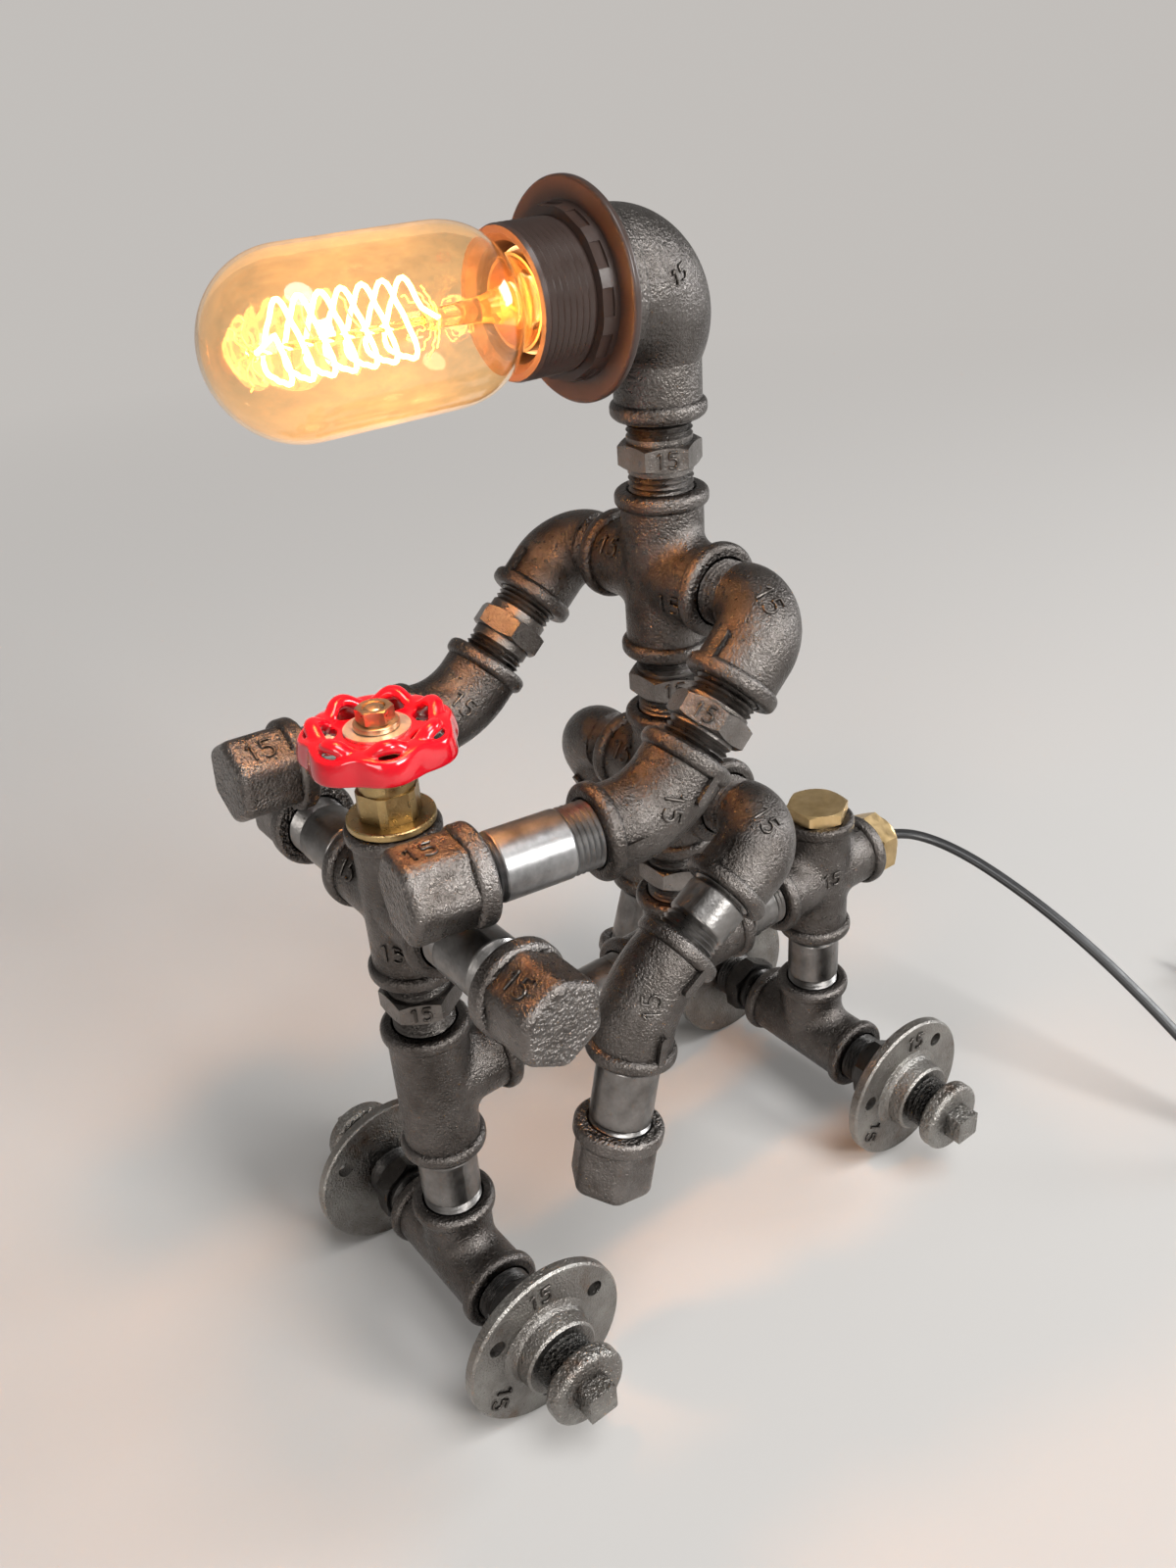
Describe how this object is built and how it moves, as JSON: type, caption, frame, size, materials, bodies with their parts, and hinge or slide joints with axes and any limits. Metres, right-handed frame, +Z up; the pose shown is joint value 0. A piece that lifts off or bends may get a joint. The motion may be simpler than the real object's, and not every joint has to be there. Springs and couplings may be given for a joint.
{
  "type": "industrial pipe table lamp",
  "caption": "Table lamp of black iron pipe fittings shaped as a seated figure on a wheeled cart, with swinging limbs, a handwheel switch and a bare tubular bulb as its head.",
  "frame": {"origin": "on the floor, under the middle of the lamp's own box, without its cord", "axes": "+Z up; -Y forward, the way the bulb points; +X the figure's left"},
  "size_m": [0.2994, 0.4361, 0.388],
  "materials": {
    "black_iron": "black malleable cast iron, oiled, satin",
    "pipe_steel": "dark steel, oiled, with bright thread crests",
    "brass": "turned brass, slightly tarnished",
    "handwheel_metal": "cast handwheel, glossy red paint",
    "plated_steel": "zinc plated",
    "lamp_black": "black moulded lamp holder, semi-gloss",
    "ceramic": "white insulating insert with a metal sleeve",
    "glass": "clear glass with an amber tint",
    "filament": "carbon style filament",
    "cord_black": "black flexible PVC, satin"
  },
  "bodies": {
    "root": {"axle_nipples": "pipe_steel", "axle_plugs": "black_iron", "cable_gland": "brass", "chest_cross": "black_iron", "column_nipples": "pipe_steel", "cord_coil": "cord_black", "cord_tail": "cord_black", "frame_tee": "black_iron", "front_axle_tee": "black_iron", "front_frame_pipe": "pipe_steel", "front_tee": "black_iron", "handlebar_caps": "black_iron", "handlebar_cross": "black_iron", "handlebar_pipes": "pipe_steel", "hip_cross": "black_iron", "inner_lead": "cord_black", "mains_plug": "cord_black", "post_nipples": "pipe_steel", "rear_axle_tee": "black_iron", "rear_cross": "black_iron", "rear_frame_pipe": "pipe_steel", "rear_plug": "brass", "rotary_switch": "lamp_black", "supply_cord": "cord_black", "switch_lead": "cord_black", "valve_bonnet": "brass", "wheel_flanges": "black_iron"},
    "left_arm": {"left_shoulder_elbow": "black_iron", "left_arm_nipple": "pipe_steel", "left_forearm_elbow": "black_iron", "left_forearm_pipe": "pipe_steel", "left_hand_cap": "black_iron"},
    "right_arm": {"right_shoulder_elbow": "black_iron", "right_arm_nipple": "pipe_steel", "right_forearm_elbow": "black_iron", "right_forearm_pipe": "pipe_steel", "right_hand_cap": "black_iron"},
    "left_leg": {"left_hip_elbow": "black_iron", "left_thigh_pipe": "pipe_steel", "left_knee_elbow": "black_iron", "left_shin_pipe": "pipe_steel", "left_foot_cap": "black_iron"},
    "right_leg": {"right_hip_elbow": "black_iron", "right_thigh_pipe": "pipe_steel", "right_knee_elbow": "black_iron", "right_shin_pipe": "pipe_steel", "right_foot_cap": "black_iron"},
    "handwheel": {"valve_spindle": "plated_steel", "handwheel": "handwheel_metal", "handwheel_disc": "plated_steel", "spindle_nut": "plated_steel"},
    "head": {"head_elbow": "black_iron", "head_lead": "cord_black", "holder_body": "lamp_black", "holder_insert": "ceramic", "shade_ring": "lamp_black", "bulb_cap": "brass", "bulb_glass": "glass", "bulb_stem": "glass", "bulb_filament": "filament"}
  },
  "joints": [
    {"name": "head_swivel", "type": "hinge", "parent": "root", "child": "head", "pos_m": [0, 0.01263, 0.31715], "axis": [0, 0, 1], "range_deg": [-60, 60]},
    {"name": "left_arm_swing", "type": "hinge", "parent": "root", "child": "left_arm", "pos_m": [0, 0.01263, 0.26685], "axis": [-1, 0, 0], "range_deg": [0, 40]},
    {"name": "right_arm_swing", "type": "hinge", "parent": "root", "child": "right_arm", "pos_m": [0, 0.01263, 0.26685], "axis": [-1, 0, 0], "range_deg": [0, 40]},
    {"name": "left_leg_swing", "type": "hinge", "parent": "root", "child": "left_leg", "pos_m": [0, 0.01263, 0.19005], "axis": [-1, 0, 0], "range_deg": [-30, 10]},
    {"name": "right_leg_swing", "type": "hinge", "parent": "root", "child": "right_leg", "pos_m": [0, 0.01263, 0.19005], "axis": [-1, 0, 0], "range_deg": [-10, 25]},
    {"name": "handwheel_turn", "type": "hinge", "parent": "root", "child": "handwheel", "pos_m": [0, -0.09838, 0.24], "axis": [0, 0, 1], "continuous": true}
  ]
}
